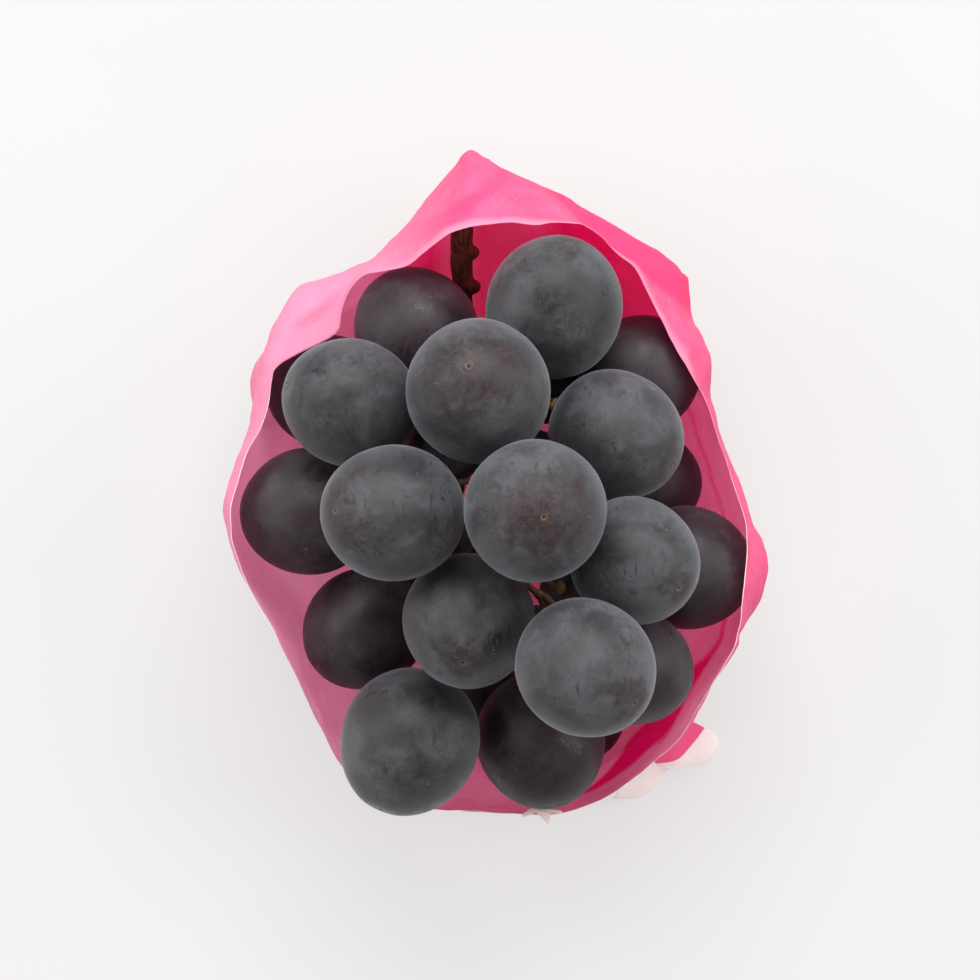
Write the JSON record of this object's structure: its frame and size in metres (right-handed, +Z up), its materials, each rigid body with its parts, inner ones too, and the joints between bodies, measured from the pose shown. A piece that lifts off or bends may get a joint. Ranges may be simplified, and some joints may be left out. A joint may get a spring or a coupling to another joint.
{
  "type": "bunch of grapes",
  "caption": "Bunch of large round black grapes on its cut stem, lying on its back in an open sleeve of thin pink paper.",
  "frame": {"origin": "middle of the bunch's box, on the flat underside of the paper sleeve", "axes": "+Z up from the surface it lies on, out of the open front of the sleeve; +Y along the bunch towards the cut stem; +X across it"},
  "size_m": [0.1116, 0.1386, 0.0988],
  "materials": {
    "berry_skin": "matt blue-black skin under a pale waxy bloom",
    "shaded_berry_skin": "matt wine-black skin with a thinner bloom",
    "stem_wood": "dull brown, half woody",
    "tissue_paper": "thin smooth translucent pink paper, softly creased"
  },
  "bodies": {
    "root": {"berry_01": "berry_skin", "berry_02": "shaded_berry_skin", "berry_03": "berry_skin", "berry_04": "berry_skin", "berry_05": "berry_skin", "berry_06": "shaded_berry_skin", "berry_07": "shaded_berry_skin", "berry_08": "berry_skin", "berry_09": "berry_skin", "berry_10": "shaded_berry_skin", "berry_11": "berry_skin", "berry_12": "shaded_berry_skin", "berry_13": "shaded_berry_skin", "berry_14": "shaded_berry_skin", "berry_15": "berry_skin", "berry_16": "berry_skin", "berry_17": "shaded_berry_skin", "berry_18": "berry_skin", "berry_19": "shaded_berry_skin", "berry_20": "shaded_berry_skin", "berry_21": "shaded_berry_skin", "berry_22": "shaded_berry_skin", "berry_23": "shaded_berry_skin", "berry_24": "shaded_berry_skin", "berry_25": "shaded_berry_skin", "berry_26": "shaded_berry_skin", "berry_27": "shaded_berry_skin", "berry_28": "shaded_berry_skin", "berry_29": "shaded_berry_skin", "berry_30": "shaded_berry_skin", "stem": "stem_wood", "paper_sleeve": "tissue_paper"}
  },
  "joints": []
}
